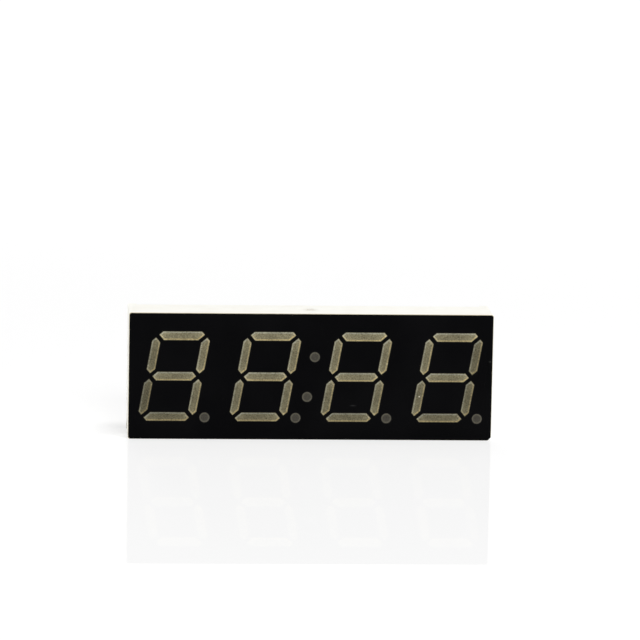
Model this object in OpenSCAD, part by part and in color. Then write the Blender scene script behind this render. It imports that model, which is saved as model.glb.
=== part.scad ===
// Four-digit clock display module with seven-segment digits, standing on its long side.
// A moulded reflector housing carries a printed black face. A resin light guide fills the
// well in front of each LED die, and the circuit board is sealed in from behind.
// The face points along -Y, the two rows of pins along +Y, and +Z is up. The origin is on
// the floor, midway along the module and midway between its face and its pin tips.

/* [Housing] */
// How much narrower the module is than its four digit spacings, so that modules can butt
butt_gap = 0; // [0:0.05:0.4]
// Height of the module, standing on its long side
body_h = 17.8; // [17.5:0.1:24]
// Depth of the housing, from the printed face to the seating plane
body_d = 8; // [7.4:0.1:14]
// Radius of the housing's corners, seen from the front
corner_r = 0.3; // [0.15:0.05:0.6]
// Thickness of the wall around the board
wall_t = 0.6; // [0.4:0.05:0.7]
// Radius of the recess's corners behind the light wells
recess_r = 0.4; // [0.2:0.05:0.6]
// Height of the corner feet, which hold the rim off what the module is fitted to
foot_h = 0.8; // [0.3:0.1:1.5]
// Length of each leg of an L-shaped foot
foot_leg = 1.25; // [1:0.05:4]
// Legs of the chamfer where the face's lower right corner is worn away
worn_leg = 0.5; // [0.2:0.05:0.8]
// How far back from the face that wear reaches
worn_reach = 1.6; // [0.5:0.1:4]

/* [Gate mark] */
// Radius of the moulding gate's dimple in the top side
gate_r = 0.55; // [0.4:0.05:1]
// Depth of the dimple
gate_sink = 0.12; // [0.05:0.01:0.3]
// Radius of the sprue stub left in the dimple
stub_r = 0.28; // [0.1:0.02:0.35]
// How far the stub stays below the top side
stub_drop = 0.03; // [0.01:0.01:0.04]
// Distance of the gate behind the printed face
gate_back = 3.6; // [1.5:0.1:4.4]

/* [Printed face] */
// Thickness of the printed black layer
mask_t = 0.1; // [0.04:0.02:0.3]
// Bare edge between the printed layer and the housing's sides
mask_margin = 0.05; // [0.02:0.01:0.2]

/* [Digits] */
// Spacing of the digits
digit_pitch = 12.7; // [12:0.1:15]
// Height of a digit
digit_h = 12.7; // [11:0.1:13.2]
// Width of a digit, measured level
digit_w = 8.1; // [6.5:0.1:8.6]
// Lean of the digits to the right, in degrees
lean = 10; // [0:1:12]
// Thickness of the level bars
level_bar = 1.3; // [1:0.05:1.5]
// Width of the upright bars, measured level
upright_bar = 1.25; // [1:0.05:1.5]
// Width of the gap between neighbouring bars
bar_gap = 0.48; // [0.3:0.02:0.7]
// Legs of the cut across each outer corner of a digit
corner_cut = 1.34; // [0.9:0.02:1.5]

/* [Dots] */
// Diameter of the decimal points and of the colon's dots
dot_d = 1.5; // [1.3:0.05:1.7]
// Level gap between a digit's side and its decimal point
point_gap = 0.51; // [0.3:0.01:0.7]
// Height of the decimal point's centre above the digit's foot
point_rise = 0.55; // [0.3:0.01:1]
// Height of the colon's dots above and below the digits' middle
colon_rise = 2.82; // [2:0.02:4]

/* [Light wells] */
// Length of a bar's well at the board, from tip to tip
well_len = 1.9; // [1.7:0.1:2.6]
// How far each long side of a bar's well closes in towards the board
well_taper = 0.2; // [0:0.05:0.25]
// How far a dot's well closes in all round towards the board
dot_taper = 0.2; // [0:0.05:0.22]

/* [Board and seal] */
// Thickness of the circuit board
board_t = 1; // [0.6:0.1:1.6]
// Clearance around the board
board_gap = 0.1; // [0.05:0.01:0.15]
// Thickness of the resin that seals the back of the board
seal_t = 0.7; // [0.5:0.05:1]
// How far that resin stays below the rim
seal_drop = 0.1; // [0.05:0.05:0.4]

/* [Pins] */
// Diameter of a pin behind the seating plane
pin_d = 0.5; // [0.4:0.02:0.54]
// Diameter of the tapered shank that the board and the seal hold, at its thick end
shank_d = 0.62; // [0.58:0.02:0.66]
// Diameter of the shank at its head, in front of the board
head_d = 0.56; // [0.5:0.02:0.56]
// Length of the shoulder that narrows the shank, just ahead of the seating plane
shoulder = 0.1; // [0.05:0.01:0.2]
// Spacing of the pins in a row
pin_pitch = 2.54; // [2:0.02:3]
// Distance of each row from the long side of the housing next to it
pin_edge = 1.28; // [1.2:0.01:1.5]
// Length of a pin behind the seating plane
pin_len = 5; // [2.5:0.1:12]
// Length of a pin's tapered tip
pin_point = 0.3; // [0.1:0.05:0.8]
// Diameter of the flat end of the tip
point_d = 0.28; // [0.1:0.02:0.36]
// Radial clearance of a shank's thick end in its hole in the board
hole_gap = 0.03; // [0.02:0.01:0.06]
// How far a pin stands out in front of the board
pin_head = 0.3; // [0.1:0.05:0.6]
// Clearance around and ahead of a pin's head in the housing
pocket_gap = 0.15; // [0.05:0.05:0.25]
// Diameter of a solder joint on the board
solder_d = 1; // [0.8:0.05:1.02]
// Diameter of a solder joint where it ends on the shank
collar_d = 0.74; // [0.7:0.02:0.78]
// Height of a solder joint
solder_h = 0.4; // [0.2:0.05:0.45]

/* [Dies and bond wires] */
// Side of an LED die
die_w = 0.3; // [0.2:0.02:0.36]
// Thickness of an LED die
die_t = 0.2; // [0.1:0.02:0.3]
// Distance from a die's centre to its wire's landing on the board
wire_reach = 0.6; // [0.5:0.02:0.66]
// Rise of a bond wire's arch
wire_rise = 0.35; // [0.2:0.05:0.5]
// Thickness of a bond wire
wire_t = 0.04; // [0.03:0.01:0.06]

/* [Hidden] */
LETTERS = ["a", "b", "c", "d", "e", "f", "g"];
DIGITS = [1, 2, 3, 4];
ROW = 6;
PINS = [for (i = [1 : 2 * ROW]) i];
NODES = concat(
    ["reflector_housing", "front_mask", "circuit_board", "rear_seal"],
    [for (n = DIGITS) for (s = LETTERS) bar_name(n, s)],
    [for (n = DIGITS) point_name(n)],
    ["colon_dot_upper", "colon_dot_lower"],
    [for (i = PINS) pin_name(i)],
    [for (n = DIGITS) dies_name(n)],
    ["led_dies_colon", "bond_wires", "solder_joints"]
);
node = "all";

function bar_name(n, s) = str("digit_", n, "_segment_", s);
function point_name(n) = str("digit_", n, "_decimal_point");
function dies_name(n) = str("led_dies_digit_", n);
function pin_name(i) = str("pin_", i < 10 ? "0" : "", i);

cream = [0.93, 0.91, 0.84];
ink_black = [0.05, 0.05, 0.055];
resin_tan = [0.42, 0.4, 0.33];
resin_grey = [0.26, 0.26, 0.23];
board_white = [0.86, 0.87, 0.8];
tin = [0.75, 0.76, 0.78];
gold = [0.85, 0.68, 0.35];

// Cutting shapes run past the faces that they cut through by this much
overrun = 0.5;
// Points along half of a bond wire's arch
ARCH = 8;
$fn = 64;

// Depths behind the printed face, along +Y
rim_back = body_d - foot_h;
seal_back = rim_back - seal_drop;
board_back = seal_back - seal_t;
board_front = board_back - board_t;
head_front = board_front - pin_head;
shank_len = body_d - shoulder - head_front;
// The origin is midway between the face and the pin tips
face_y = -(body_d + pin_len) / 2;
middle_z = body_h / 2;
body_w = len(DIGITS) * digit_pitch - butt_gap;

recess_w = body_w - 2 * wall_t;
recess_h = body_h - 2 * wall_t;

half_w = digit_w / 2;
half_h = digit_h / 2;
// How far a mitred bar end stays back along its bar to leave half the gap
mitre = bar_gap / sqrt(2);
// Where the centre lines of the upright bars cross the middle of the digit
joint_x = half_w - upright_bar / 2;

// Places in a digit are counted from its centre, before it leans
function leaning(p) = [p[0] + p[1] * tan(lean), p[1]];
function turned(points, mx, my) =
    let (last = len(points) - 1)
    [for (i = [0 : last]) let (p = points[mx * my > 0 ? i : last - i]) [mx * p[0], my * p[1]]];

// Lengths of the bars from tip to tip
top_len = digit_w - corner_cut - mitre;
side_len = half_h - (corner_cut + mitre) / 2 - mitre;
middle_len = 2 * (joint_x - mitre);

// Outlines of the top, upper right and middle bars, anticlockwise, with each long side
// moved in by `side` and each end by `end`. All their ends are cut at 45 degrees.
function top_bar(side, end) =
    let (
        tip = [top_len / 2 - end, half_h - (corner_cut - mitre) / 2],
        crown = [half_w - corner_cut + side - end, half_h - side],
        heel = [half_w - level_bar - mitre + side - end, half_h - level_bar + side]
    )
    [[-heel[0], heel[1]], heel, tip, crown, [-crown[0], crown[1]], [-tip[0], tip[1]]];

function side_bar(side, end) =
    let (
        outer_x = half_w - side,
        inner_x = half_w - upright_bar + side,
        foot_z = upright_bar / 2 + mitre - side + end
    )
    [
        [joint_x, mitre + end],
        [outer_x, foot_z],
        [outer_x, half_h - corner_cut + side - end],
        [half_w - (corner_cut - mitre) / 2, mitre + side_len - end],
        [inner_x, half_h - upright_bar - mitre + side - end],
        [inner_x, foot_z]
    ];

function middle_bar(side, end) =
    let (
        tip_x = middle_len / 2 - end,
        edge_z = level_bar / 2 - side,
        shoulder_x = tip_x - edge_z
    )
    [
        [-shoulder_x, -edge_z], [shoulder_x, -edge_z], [tip_x, 0],
        [shoulder_x, edge_z], [-shoulder_x, edge_z], [-tip_x, 0]
    ];

function is_level(s) = s == "a" || s == "d" || s == "g";
function bar_len(s) = s == "g" ? middle_len : is_level(s) ? top_len : side_len;
// Sides of the digit that a bar lies on: right or left, and upper or lower
function bar_x(s) = s == "e" || s == "f" ? -1 : 1;
function bar_z(s) = s == "c" || s == "d" || s == "e" ? -1 : 1;

// Outline of a bar's light well at the face (back = 0) or at the board (back = 1)
function bar_outline(s, back) =
    let (
        side = back * well_taper,
        end = back * (bar_len(s) - well_len) / 2,
        bar = s == "g" ? middle_bar(side, end)
            : is_level(s) ? top_bar(side, end)
            : side_bar(side, end)
    )
    [for (p = turned(bar, bar_x(s), bar_z(s))) leaning(p)];

// Centre of a bar, where its die and bond wire sit
function bar_centre(s) = leaning(
    s == "g" ? [0, 0]
    : is_level(s) ? [0, bar_z(s) * (half_h - level_bar / 2)]
    : [bar_x(s) * joint_x, bar_z(s) * (mitre + side_len / 2)]
);

point_at = leaning([half_w + point_gap + dot_d / 2, point_rise - half_h]);
function colon_at(up) = leaning([0, up * colon_rise]);
function digit_x(n) = (n - (len(DIGITS) + 1) / 2) * digit_pitch;

// Pins count along the bottom row from the left, then back along the top row
function pin_at(i) =
    let (place = i <= ROW ? i : 2 * ROW + 1 - i)
    [(place - (ROW + 1) / 2) * pin_pitch, i <= ROW ? pin_edge : body_h - pin_edge];

// Extrudes an outline, drawn as the face is seen, between two depths behind the face
module slab(from, to)
    translate([0, face_y + to, 0])
        rotate([90, 0, 0])
            linear_extrude(to - from) children();

// Turns a shape about +Z into one whose base is at a depth and whose top faces the front
module facing(depth) translate([0, face_y + depth, 0]) rotate([90, 0, 0]) children();

module at_digit(n) translate([digit_x(n), 0, middle_z]) children();
module at_spot(p) translate([p[0], 0, p[1]]) children();
// Level bars keep their lamps level, and upright bars turn them up along their own length
module at_bar(s)
    at_spot(bar_centre(s)) rotate([0, is_level(s) ? 0 : lean - 90, 0]) children();

module rounded(w, h, r) {
    square([w - 2 * r, h], center = true);
    square([w, h - 2 * r], center = true);
    for (x = [-1, 1], y = [-1, 1])
        translate([x * (w / 2 - r), y * (h / 2 - r)]) circle(r);
}

module body_outline() translate([0, middle_z]) rounded(body_w, body_h, corner_r);
module recess_outline() translate([0, middle_z]) rounded(recess_w, recess_h, recess_r);
module mask_outline()
    translate([0, middle_z])
        rounded(body_w - 2 * mask_margin, body_h - 2 * mask_margin, corner_r);
module board_outline()
    translate([0, middle_z])
        rounded(recess_w - 2 * board_gap, recess_h - 2 * board_gap, recess_r);

// The part of a bar's well that narrows from the housing's front to the board
module bar_funnel(s) {
    front = bar_outline(s, 0);
    back = bar_outline(s, 1);
    n = len(front);
    polyhedron(
        points = concat(
            [for (p = front) [p[0], face_y + mask_t, p[1]]],
            [for (p = back) [p[0], face_y + board_front, p[1]]]
        ),
        faces = concat(
            [[for (i = [1 : n]) n - i], [for (i = [0 : n - 1]) n + i]],
            [for (i = [0 : n - 1]) let (j = (i + 1) % n) [i, j, n + j]],
            [for (i = [0 : n - 1]) let (j = (i + 1) % n) [i, n + j, n + i]]
        )
    );
}

module bar_resin(s) {
    slab(0, mask_t) polygon(bar_outline(s, 0));
    bar_funnel(s);
}

module bar_well(s) {
    bar_resin(s);
    slab(board_front, board_front + overrun) polygon(bar_outline(s, 1));
}

module dot_resin() {
    slab(0, mask_t) circle(d = dot_d);
    facing(board_front)
        cylinder(h = board_front - mask_t, r1 = dot_d / 2 - dot_taper, r2 = dot_d / 2);
}

module dot_well() {
    dot_resin();
    slab(board_front, board_front + overrun) circle(dot_d / 2 - dot_taper);
}

// An LED die on the board, off the well's centre to leave room for its wire's landing
module die()
    translate([-(wire_reach + die_w) / 2, face_y + board_front - die_t, -die_w / 2])
        cube([die_w, die_t, die_w]);

// A bond wire that arches from the top of the die down to the board
module wire() {
    lift = [for (i = [0 : ARCH]) let (t = i / ARCH) die_t * (1 - t) + wire_rise * sin(180 * t)];
    path = concat(
        [[-wire_reach / 2 - wire_t, die_t]],
        [for (i = [0 : ARCH]) [wire_reach * (i / ARCH - 1 / 2), lift[i]]],
        [[wire_reach / 2 + 2 * wire_t, 0]]
    );
    last = len(path) - 1;
    translate([0, face_y + board_front, -wire_t / 2])
        linear_extrude(wire_t)
            polygon(concat(
                [for (p = path) [p[0], -p[1]]],
                [for (i = [0 : last]) [path[last - i][0], -path[last - i][1] - wire_t]]
            ));
}

module lamp() {
    die();
    wire();
}

// Repeats its children at every lamp of a digit, or at both dots of the colon
module each_digit_lamp(n)
    at_digit(n) {
        for (s = LETTERS) at_bar(s) children();
        at_spot(point_at) children();
    }
module each_colon_lamp()
    for (up = [-1, 1]) at_spot(colon_at(up) + [0, middle_z]) children();

module gate_mark()
    translate([0, face_y + gate_back, body_h - gate_sink])
        difference() {
            cylinder(h = gate_sink + overrun, r = gate_r);
            translate([0, 0, -overrun]) cylinder(h = gate_sink + overrun - stub_drop, r = stub_r);
        }

// What is worn off the face's lower right corner
module worn_corner()
    slab(-overrun, worn_reach)
        polygon([
            [body_w / 2 - worn_leg, 0],
            [body_w / 2 - worn_leg, -overrun],
            [body_w / 2 + overrun, -overrun],
            [body_w / 2 + overrun, worn_leg],
            [body_w / 2, worn_leg]
        ]);

// Everything around the corner feet, which is cut away down to the rim
module between_feet()
    difference() {
        translate([0, middle_z]) square([body_w + overrun, body_h + overrun], center = true);
        for (x = [-1, 1], y = [-1, 1])
            translate([x * (body_w - foot_leg) / 2, middle_z + y * (body_h - foot_leg) / 2])
                square(foot_leg, center = true);
    }

module reflector_housing()
    color(cream) difference() {
        slab(mask_t, body_d) body_outline();
        slab(board_front, body_d + overrun) recess_outline();
        slab(rim_back, body_d + overrun) between_feet();
        for (n = DIGITS) at_digit(n) {
            for (s = LETTERS) bar_well(s);
            at_spot(point_at) dot_well();
        }
        each_colon_lamp() dot_well();
        for (i = PINS) at_spot(pin_at(i))
            slab(head_front - pocket_gap, board_front + overrun)
                circle(shank_d / 2 + pocket_gap);
        gate_mark();
        worn_corner();
    }

module front_mask()
    color(ink_black) difference() {
        slab(0, mask_t) difference() {
            mask_outline();
            for (n = DIGITS) translate([digit_x(n), middle_z]) {
                for (s = LETTERS) polygon(bar_outline(s, 0));
                translate(point_at) circle(d = dot_d);
            }
            for (up = [-1, 1]) translate(colon_at(up) + [0, middle_z]) circle(d = dot_d);
        }
        worn_corner();
    }

module segment_guide(n, s)
    color(resin_tan) at_digit(n) difference() {
        bar_resin(s);
        at_bar(s) lamp();
    }

module decimal_point(n)
    color(resin_grey) at_digit(n) at_spot(point_at) difference() {
        dot_resin();
        lamp();
    }

module colon_dot(up)
    color(resin_grey) at_spot(colon_at(up) + [0, middle_z]) difference() {
        dot_resin();
        lamp();
    }

module circuit_board()
    color(board_white) slab(board_front, board_back) difference() {
        board_outline();
        for (i = PINS) translate(pin_at(i)) circle(shank_d / 2 + hole_gap);
    }

// Turns a shape about +Z into one whose base is at a depth and whose top points back
module backward(depth) translate([0, face_y + depth, 0]) rotate([-90, 0, 0]) children();

module shank() backward(head_front) cylinder(h = shank_len, d1 = head_d, d2 = shank_d);

// A solder joint around a pin on the back of the board
module solder_joint()
    difference() {
        backward(board_back) cylinder(h = solder_h, d1 = solder_d, d2 = collar_d);
        shank();
    }

module rear_seal()
    color(resin_tan) difference() {
        slab(board_back, seal_back) recess_outline();
        for (i = PINS) at_spot(pin_at(i)) {
            shank();
            solder_joint();
        }
    }

// A round pin: a tapered shank, a shoulder, then the pin itself with its pointed tip
module pin(i)
    color(tin) at_spot(pin_at(i)) {
        shank();
        backward(body_d - shoulder) cylinder(h = shoulder, d1 = shank_d, d2 = pin_d);
        backward(body_d) cylinder(h = pin_len - pin_point, d = pin_d);
        backward(body_d + pin_len - pin_point) cylinder(h = pin_point, d1 = pin_d, d2 = point_d);
    }

module led_dies(n) color(gold) each_digit_lamp(n) die();
module led_dies_colon() color(gold) each_colon_lamp() die();
module bond_wires()
    color(gold) {
        for (n = DIGITS) each_digit_lamp(n) wire();
        each_colon_lamp() wire();
    }
module solder_joints() color(tin) for (i = PINS) at_spot(pin_at(i)) solder_joint();

function shown(name) = node == "all" || node == name;

if (shown("reflector_housing")) reflector_housing();
if (shown("front_mask")) front_mask();
if (shown("circuit_board")) circuit_board();
if (shown("rear_seal")) rear_seal();
for (n = DIGITS) {
    for (s = LETTERS) if (shown(bar_name(n, s))) segment_guide(n, s);
    if (shown(point_name(n))) decimal_point(n);
    if (shown(dies_name(n))) led_dies(n);
}
if (shown("colon_dot_upper")) colon_dot(1);
if (shown("colon_dot_lower")) colon_dot(-1);
for (i = PINS) if (shown(pin_name(i))) pin(i);
if (shown("led_dies_colon")) led_dies_colon();
if (shown("bond_wires")) bond_wires();
if (shown("solder_joints")) solder_joints();
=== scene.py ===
"""Dresses the four-digit seven segment display module and sets it on a pale floor."""

import math

import bmesh
import bpy
from bpy.props import FloatProperty, FloatVectorProperty, PointerProperty
from mathutils import Matrix, Vector


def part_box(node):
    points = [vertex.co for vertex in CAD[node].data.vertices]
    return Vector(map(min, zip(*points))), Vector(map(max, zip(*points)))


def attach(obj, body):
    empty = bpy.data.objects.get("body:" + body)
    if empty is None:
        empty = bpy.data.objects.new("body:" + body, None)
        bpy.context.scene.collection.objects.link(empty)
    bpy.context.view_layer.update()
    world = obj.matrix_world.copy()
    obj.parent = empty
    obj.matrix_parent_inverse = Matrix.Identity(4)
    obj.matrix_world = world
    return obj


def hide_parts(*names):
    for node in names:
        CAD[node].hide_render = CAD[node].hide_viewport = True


bl_info = {
    "name": "Seven Segment Display Module",
    "version": (1, 0, 0),
    "blender": (4, 5, 0),
    "location": "3D View > Sidebar > Display Module",
    "description": "Builds a four-digit seven segment display module around its packed solids",
    "category": "Object",
}

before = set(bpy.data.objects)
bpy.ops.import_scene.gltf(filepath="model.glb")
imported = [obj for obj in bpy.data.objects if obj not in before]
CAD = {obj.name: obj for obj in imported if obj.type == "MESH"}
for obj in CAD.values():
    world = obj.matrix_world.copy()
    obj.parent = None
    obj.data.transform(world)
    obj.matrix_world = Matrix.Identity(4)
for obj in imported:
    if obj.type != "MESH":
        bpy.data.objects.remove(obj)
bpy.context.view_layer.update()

MM = 0.001
# Depths closer than this are one depth, and points closer than the weld are one point
HAIR = 0.002 * MM
WELD = 0.001 * MM
# Turn that stands a flat shape up, facing forwards
UPRIGHT = (math.pi / 2, 0, 0)
LETTERS = "abcdefg"
DIGITS = (1, 2, 3, 4)
PINS = tuple(range(1, 13))

HOUSING_LOW, HOUSING_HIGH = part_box("reflector_housing")
INK_LOW, INK_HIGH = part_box("front_mask")
BOARD_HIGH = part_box("circuit_board")[1]
SEAL_LOW, SEAL_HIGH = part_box("rear_seal")
FACE_Y = INK_LOW.y
MIDDLE = (HOUSING_LOW + HOUSING_HIGH) / 2


def srgb(red, green, blue):
    """A colour given as 0 to 255 on screen, as the linear values that shaders take."""

    def linear(level):
        level /= 255
        return level / 12.92 if level <= 0.04045 else ((level + 0.055) / 1.055) ** 2.4

    return linear(red), linear(green), linear(blue)


def length(name, description, default_mm):
    """A length, whose default is given in millimetres."""
    default = default_mm * MM
    return FloatProperty(
        name=name, description=description, default=default, min=0, precision=6, unit="LENGTH"
    )


def colour(name, description, default):
    """A colour, whose default is given in linear values."""
    return FloatVectorProperty(
        name=name, description=description, default=default, min=0, max=1, size=3, subtype="COLOR"
    )


def share(name, description, default):
    """A share between 0 and 1."""
    return FloatProperty(
        name=name, description=description, default=default, min=0, max=1, subtype="FACTOR"
    )


def angle(name, description, default_degrees):
    """An angle, whose default is given in degrees."""
    default = math.radians(default_degrees)
    return FloatProperty(name=name, description=description, default=default, subtype="ANGLE")


def power(name, description, default):
    """A lamp's power in watts."""
    return FloatProperty(name=name, description=description, default=default, unit="POWER")


class DisplaySizes(bpy.types.PropertyGroup):
    """Sizes of the details that finish the solids"""

    edge_round: length("Edge rounding", "Rounding of the housing's moulded edges", 0.05)
    ink_round: length("Ink rounding", "Rounding of the printed layer's outer edge", 0.03)
    grid_step: length("Window grid", "Spacing of the mesh across a bar window", 0.08)
    window_dish: length("Window dish", "How far the resin sinks behind the ink", 0.03)
    # The lip's ink colour stands for ink over the resin's edge and for painted shade from the ink's
    # edge
    window_lip: length("Window lip", "Width of the inked lip around a window", 0.05)
    window_rim: length("Window rim", "Width of the pale rim inside the lip", 0.26)
    tip_glow: length("Tip glow", "How far the pale glow reaches in from a bar's tips", 1.2)
    # Painted shade: the wells are dimmer near either end of the module
    end_shade: length("End shade", "How far the module's ends dim the wells near them", 2.2)
    seal_climb: length("Seal climb", "Width over which the seal climbs up to walls and pins", 0.4)
    seal_sink: length("Seal sink", "How far the seal sinks between walls and pins", 0.14)
    track_width: length("Track width", "Width of the copper tracks on the board", 0.36)
    track_rise: length("Track rise", "Height of the tracks over the board", 0.04)
    pad_width: length("Pad width", "Width of the pad around each pin", 1.7)
    via_width: length("Via width", "Width of the plated spots at the tracks' ends", 0.7)


class DisplayColours(bpy.types.PropertyGroup):
    """Colours of the materials"""

    cream: colour("Housing", "Moulded housing plastic", srgb(250, 249, 242))
    cream_shade: colour("Housing shade", "Darker flow marks in the housing", srgb(247, 244, 235))
    gate_stain: colour("Gate stain", "Greyed plastic at the moulding gate", srgb(206, 200, 188))
    ink: colour("Ink", "Printed black face", srgb(8, 8, 9))
    resin: colour("Window resin", "Resin over the depth of a bar's well", srgb(104, 99, 78))
    # Painted light and shade on the bars' rims: warm where the lower well wall catches the light
    # from above, cooler and dimmer along the upper edge
    rim_warm: colour("Warm rim", "Well wall close under a bar's lower edge", srgb(149, 134, 94))
    rim_cool: colour("Cool rim", "Well wall close under a bar's upper edge", srgb(129, 129, 115))
    dot: colour("Dot resin", "Resin over the depth of a dot's well", srgb(67, 64, 57))
    dot_rim: colour("Dot rim", "Well wall close under a dot's edge", srgb(88, 85, 74))
    laminate: colour("Board", "White solder resist of the circuit board", srgb(232, 232, 218))
    track: colour("Tracks", "Copper tracks under the solder resist", srgb(168, 160, 122))
    seal: colour("Rear seal", "Resin over the back of the board", srgb(236, 229, 204))
    # A tan band on the housing just behind the ink
    tinted: colour("Ink margin", "Housing stained beside the ink", srgb(208, 192, 146))
    # Dark brownish marks low on the housing's left side, by the rear foot
    rear_marks: colour("Resin smear", "Resin run out over the housing", srgb(118, 112, 90))
    tin: colour("Pins", "Tinned pins", srgb(206, 206, 203))
    gold: colour("Bond wires", "Gold bond wires", srgb(222, 176, 98))
    floor: colour("Floor", "Glossy white floor", srgb(250, 250, 250))


class DisplayStage(bpy.types.PropertyGroup):
    """Camera, lamps and floor"""

    lens: FloatProperty(name="Lens", description="Focal length", default=281.25, unit="CAMERA")
    camera_height: length("Camera height", "Camera above the floor", 131.724)
    camera_front: length("Camera distance", "Camera in front of the face", 683.68)
    camera_left: length("Camera offset", "Camera left of the middle", 48.75)
    camera_turn: angle("Camera turn", "Camera's turn to the right", 4.171)
    camera_dip: angle("Camera dip", "How far the camera looks down", 9.504)
    camera_roll: angle("Camera roll", "Tilt of the camera about its view", 1.089)
    world_light: share("Ambient light", "Strength of the even light from all round", 0.2)
    floor_gloss: share("Floor gloss", "Share of the floor's reflection", 0.09)
    floor_glow: share("Floor glow", "How far the floor's shadows fade to white", 0.56)
    floor_near: length("Floor fade start", "Distance from which the floor fades to plain white", 60)
    floor_far: length("Floor fade end", "Distance at which the floor is plain white", 400)
    lamp_reach: length("Lamp reach", "Distance of the lamps from the module", 800)
    lamp_width: length("Lamp width", "Side of each square lamp", 200)
    key_power: power("Key lamp", "Power of the key lamp", 3.2)
    fill_power: power("Fill lamps", "Power of a fill lamp, before its share", 2.0)


# Finishes


def join(tree, kind, inputs=(), output=0, **settings):
    """Adds a node, sets or joins its inputs, and returns one of its outputs."""
    node = tree.nodes.new("ShaderNode" + kind)
    for name, value in settings.items():
        setattr(node, name, value)
    for key, value in dict(inputs).items():
        if isinstance(value, bpy.types.NodeSocket):
            tree.links.new(value, node.inputs[key])
        else:
            node.inputs[key].default_value = value
    return node.outputs[output]


def start_finish(name, base, specular=0.5, **sockets):
    """A new material whose shader has this colour and these constants, and its coordinates."""
    material = bpy.data.materials.new(name)
    material.use_nodes = True
    shader = material.node_tree.nodes["Principled BSDF"]
    shader.inputs["Base Color"].default_value = (*base, 1)
    shader.inputs["Specular IOR Level"].default_value = specular
    for socket, value in sockets.items():
        shader.inputs[socket].default_value = value
    where = join(material.node_tree, "TexCoord", output=3)
    return material, material.node_tree, shader, where


def attribute(tree, name):
    """A number that is stored at the mesh's points."""
    return join(tree, "Attribute", output=2, attribute_name=name)


def cloud(tree, where, size_mm, detail=2.0, stretch=None):
    """Soft noise whose lumps have about this size."""
    if stretch:
        where = join(tree, "Mapping", {0: where, 3: stretch})
    scale = 1 / (size_mm * MM)
    settings = {"Vector": where, "Scale": scale, "Detail": detail, "Roughness": 0.55}
    return join(tree, "TexNoise", settings)


def spread(tree, value, low, high, to_low=0.0, to_high=1.0, smooth=True):
    """Carries a value from one range to another, and holds it at the ends."""
    ramp = {0: value, 1: low, 2: high, 3: to_low, 4: to_high}
    return join(tree, "MapRange", ramp, interpolation_type="SMOOTHSTEP" if smooth else "LINEAR")


def calculate(tree, operation, first, second):
    """One step of arithmetic on two values."""
    return join(tree, "Math", {0: first, 1: second}, operation=operation)


def tint(tree, amount, first, second, mode="MIX"):
    """Mixes two colours, each given as a socket or as red, green and blue."""

    def full(value):
        return value if isinstance(value, bpy.types.NodeSocket) else (*value, 1)

    mix = {0: amount, 6: full(first), 7: full(second)}
    return join(tree, "Mix", mix, output=2, data_type="RGBA", blend_type=mode)


def combine(tree, operation, first, second):
    """One step of arithmetic on two places."""
    return join(tree, "VectorMath", {0: first, 1: second}, operation=operation)


def distance(tree, where):
    """How far a place lies from the origin."""
    return join(tree, "VectorMath", {0: where}, output=1, operation="LENGTH")


def spot(tree, where, centre_mm, radius_mm, softness, squash=(1, 1, 1)):
    """1 inside a blot around a point, fading to 0 at its edge."""
    moved = combine(tree, "SUBTRACT", where, [c * MM for c in centre_mm])
    far = distance(tree, combine(tree, "MULTIPLY", moved, squash))
    return spread(tree, far, radius_mm * MM * (1 - softness), radius_mm * MM, 1, 0)


def mark_face(tree, where, body, at_mm, radius_mm, tone, softness, strength=1.0, squash=(1, 1, 1)):
    """Puts a small blot on the face, at this place across and up, into a colour."""
    x, z = at_mm
    blot = spot(tree, where, (x, FACE_Y / MM, z), radius_mm, softness, squash)
    return tint(tree, calculate(tree, "MULTIPLY", blot, strength), body, srgb(*tone))


def darker(base, level):
    """A plain colour at a share of its brightness."""
    return tuple(level * value for value in base)


def dim(tree, body, level):
    """A colour multiplied by a level."""
    grey = join(tree, "CombineColor", {0: level, 1: level, 2: level})
    return tint(tree, 1.0, body, grey, "MULTIPLY")


def relief(tree, shader, height, depth_mm, strength):
    """Raises the surface by a value, up to this depth."""
    bump = join(tree, "Bump", {"Strength": strength, "Distance": depth_mm * MM, "Height": height})
    tree.links.new(bump, shader.inputs["Normal"])


def set_colour(tree, shader, value):
    """Joins a colour to the shader."""
    tree.links.new(value, shader.inputs["Base Color"])


def set_roughness(tree, shader, value, low, high):
    """Lets the roughness follow soft noise between two levels."""
    tree.links.new(spread(tree, value, 0.3, 0.7, low, high), shader.inputs["Roughness"])


def complete(tree, shader, body, texture, rough, depth_mm, strength):
    """Joins the colour, and lets one texture steer the roughness and the relief."""
    set_colour(tree, shader, body)
    set_roughness(tree, shader, texture, *rough)
    relief(tree, shader, texture, depth_mm, strength)


# Depth of the moulding gate behind the face and width of its stain, in millimetres
GATE_DEPTH, GATE_WIDTH = 3.6, 3.0
# Width of the tan margin of the housing behind the ink
INK_MARGIN = 0.35 * MM
# The dark marks' blots: distance in front of the seal's back, height, radius and strength
REAR_MARK_BLOTS = ((1.4, 1.0, 0.52, 0.7), (1.0, 0.35, 0.3, 1))


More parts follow.
